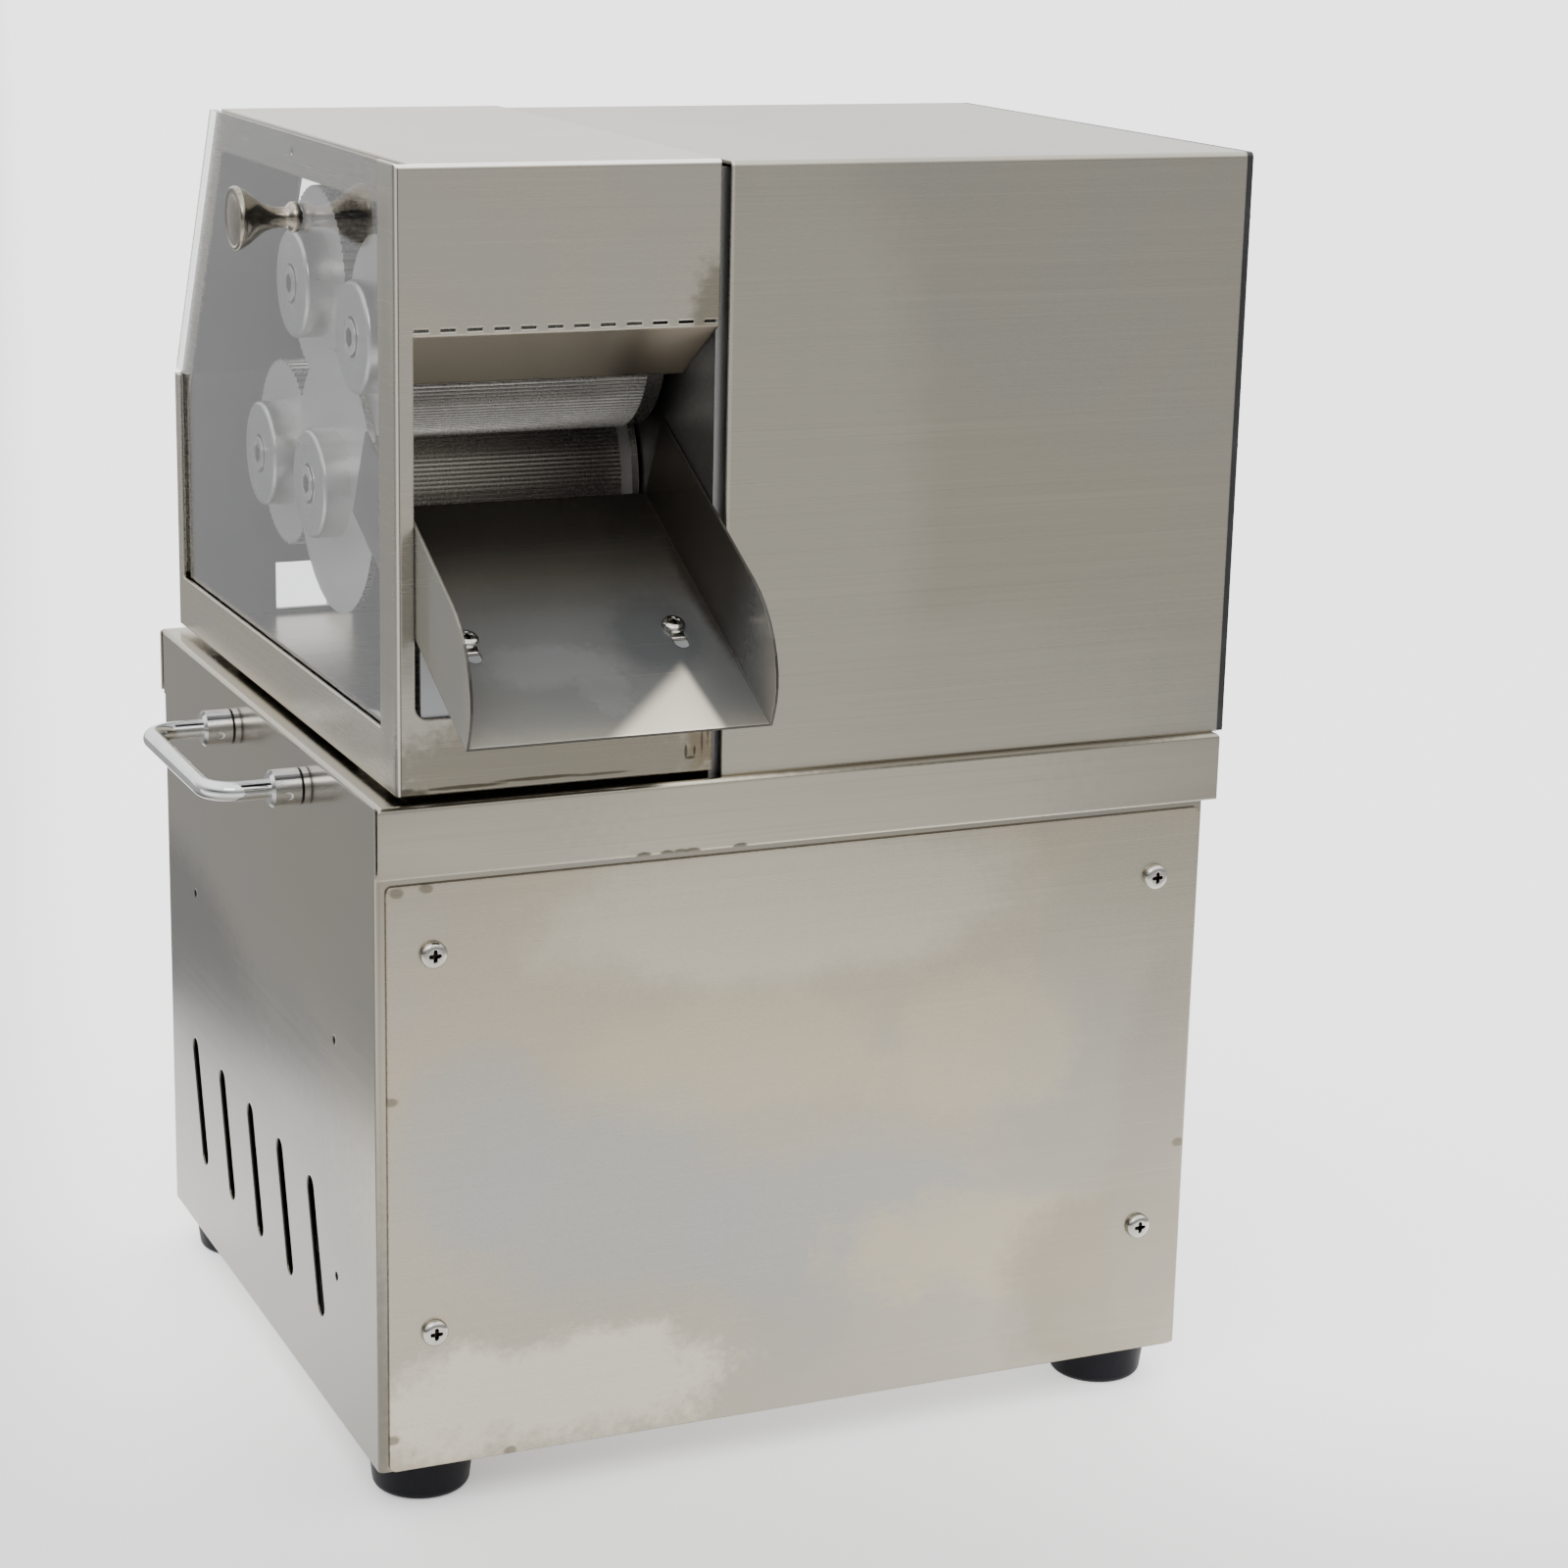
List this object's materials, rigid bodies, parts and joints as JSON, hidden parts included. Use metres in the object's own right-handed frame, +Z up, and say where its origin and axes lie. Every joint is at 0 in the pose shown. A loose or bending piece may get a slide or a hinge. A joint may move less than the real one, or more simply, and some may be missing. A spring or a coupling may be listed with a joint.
{
  "type": "electric sugarcane juicer",
  "caption": "Free-standing electric sugarcane juicer in brushed steel with a roller press head, sliding clear window, chute and geared drive on a ventilated cabinet.",
  "frame": {"origin": "on the floor under the middle of the whole box", "axes": "+Z up, +X to the right of the side where pressed cane leaves, +Y away from that side"},
  "size_m": [0.4966, 0.477, 0.5895],
  "materials": {
    "brushed_sheet": "brushed",
    "chrome": "polished",
    "nickel": "satin",
    "zinc": "plated",
    "rubber_black": "matte",
    "acrylic": "clear",
    "machined_steel": "machined",
    "roller_steel": "machined",
    "black_oxide": "satin",
    "gear_steel": "machined",
    "cast_housing": "cast",
    "motor_paint": "satin",
    "black_panel": "satin",
    "black_plastic": "matte"
  },
  "bodies": {
    "machine": {"base_shell": "brushed_sheet", "base_floor": "brushed_sheet", "front_panel": "brushed_sheet", "rear_panel": "brushed_sheet", "panel_screws": "zinc", "rubber_feet": "rubber_black", "foot_bolts": "zinc", "control_unit": "cast_housing", "left_handle": "chrome", "right_handle": "chrome", "handle_ferrules": "chrome", "head_shell": "brushed_sheet", "chamber_floor": "brushed_sheet", "feed_hopper": "brushed_sheet", "juice_spout": "brushed_sheet", "discharge_chute": "brushed_sheet", "chute_bracket": "brushed_sheet", "chute_screws": "zinc", "chamber_plate": "machined_steel", "outer_plate": "machined_steel", "plate_pillars": "machined_steel", "pillar_bolts": "zinc", "plate_bracket": "machined_steel", "bracket_bolts": "zinc", "shaft_bearings": "machined_steel", "reducer": "cast_housing", "motor": "motor_paint", "reducer_bolts": "zinc", "motor_cover": "brushed_sheet", "end_panel": "black_panel", "end_panel_screws": "zinc", "switch_body": "black_plastic", "power_inlet": "black_plastic"},
    "main_unit": {"main_shaft": "roller_steel", "main_roller": "roller_steel", "main_cap": "roller_steel", "main_cap_bolt": "black_oxide", "main_gear": "gear_steel"},
    "top_unit": {"top_shaft": "roller_steel", "top_roller": "roller_steel", "top_cap": "roller_steel", "top_cap_bolt": "black_oxide", "top_gear": "gear_steel"},
    "front_unit": {"front_shaft": "roller_steel", "front_roller": "roller_steel", "front_cap": "roller_steel", "front_cap_bolt": "black_oxide", "front_gear": "gear_steel"},
    "rear_unit": {"rear_shaft": "roller_steel", "rear_roller": "roller_steel", "rear_cap": "roller_steel", "rear_cap_bolt": "black_oxide", "rear_gear": "gear_steel"},
    "window": {"window_panel": "acrylic", "window_knob": "nickel", "knob_screw": "zinc"},
    "rocker": {"switch_rocker": "black_plastic"}
  },
  "joints": [
    {"name": "main_spin", "type": "hinge", "parent": "machine", "child": "main_unit", "pos_m": [-0.1678, -0.0232, 0.435], "axis": [1, 0, 0], "continuous": true},
    {"name": "top_spin", "type": "hinge", "parent": "machine", "child": "top_unit", "pos_m": [-0.1678, 0.01199, 0.51996], "axis": [1, 0, 0], "continuous": true},
    {"name": "front_spin", "type": "hinge", "parent": "machine", "child": "front_unit", "pos_m": [-0.1678, -0.07918, 0.50796], "axis": [1, 0, 0], "continuous": true},
    {"name": "rear_spin", "type": "hinge", "parent": "machine", "child": "rear_unit", "pos_m": [-0.1678, 0.06874, 0.4334], "axis": [1, 0, 0], "continuous": true},
    {"name": "window_slide", "type": "slide", "parent": "machine", "child": "window", "axis": [0, 0, 1], "range_m": [0, 0.24]},
    {"name": "rocker_tip", "type": "hinge", "parent": "machine", "child": "rocker", "pos_m": [0.0982, 0.18781, 0.4065], "axis": [1, 0, 0], "range_deg": [-10, 10]}
  ],
  "couplings": [
    {"joint": "top_spin", "follows": "main_spin", "ratio": -1},
    {"joint": "front_spin", "follows": "main_spin", "ratio": -1},
    {"joint": "rear_spin", "follows": "main_spin", "ratio": -1}
  ]
}
